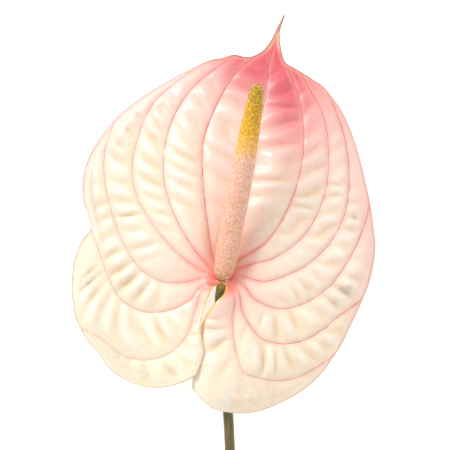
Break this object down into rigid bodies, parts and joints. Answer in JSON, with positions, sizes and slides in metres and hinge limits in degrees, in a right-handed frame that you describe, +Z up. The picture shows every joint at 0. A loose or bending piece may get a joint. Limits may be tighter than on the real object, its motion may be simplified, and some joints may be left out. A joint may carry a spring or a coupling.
{
  "type": "cut anthurium flower",
  "caption": "Cut anthurium lying face up: a heart-shaped glossy spathe with sunken veins and a curled tip, an upright rod of small florets, and a long bare stem.",
  "frame": {"origin": "under the middle of the flower's bounding box, on the surface that it lies on", "axes": "+Z up, the way the spathe faces; +Y along the flower, from the stem's cut end to the spathe's tip; +X to the right of it, seen from above"},
  "size_m": [0.14, 0.422, 0.0516],
  "materials": {
    "stem": "dull dark olive green plant skin",
    "spathe": "waxy gloss, ivory cream with salmon pink veins and a coral blush",
    "spadix": "granular, peach pink at the base and yellow at the tip"
  },
  "bodies": {
    "root": {"stem": "stem", "spathe": "spathe", "spadix": "spadix"}
  },
  "joints": []
}
